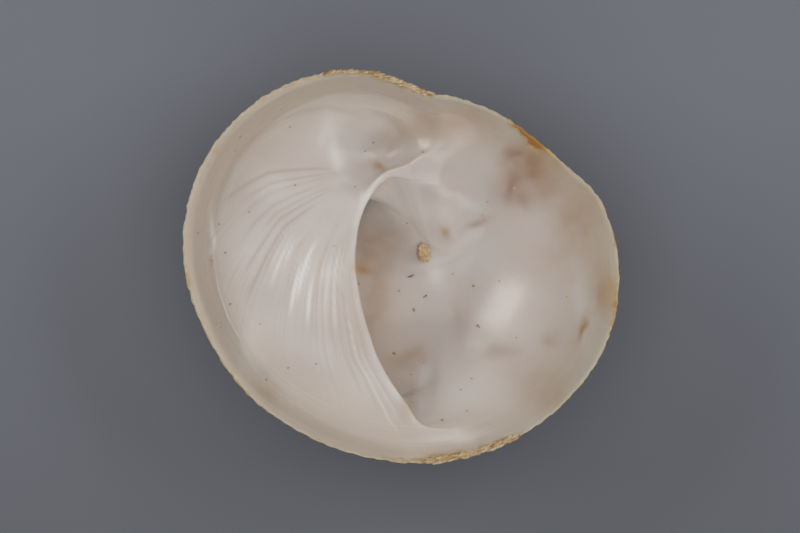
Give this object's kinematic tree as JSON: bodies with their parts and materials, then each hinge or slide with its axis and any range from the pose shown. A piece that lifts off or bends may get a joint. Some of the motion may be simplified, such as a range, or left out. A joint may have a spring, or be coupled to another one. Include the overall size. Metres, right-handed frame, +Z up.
{
  "type": "circular slipper shell",
  "caption": "Round cap-shaped sea snail shell lying on its back, with a thin inner shelf across part of the hollow and a small coiled spire outside.",
  "frame": {"origin": "bottom centre of the shell's box, on the small flat spot under the body whorl that the shell rests on", "axes": "+Z up out of the open side, +X along the longest width, away from the shelf, +Y towards the end where the spire lies"},
  "size_m": [0.03, 0.027, 0.01],
  "materials": {
    "shell": "satin"
  },
  "bodies": {
    "root": {"shell": "shell"}
  },
  "joints": []
}
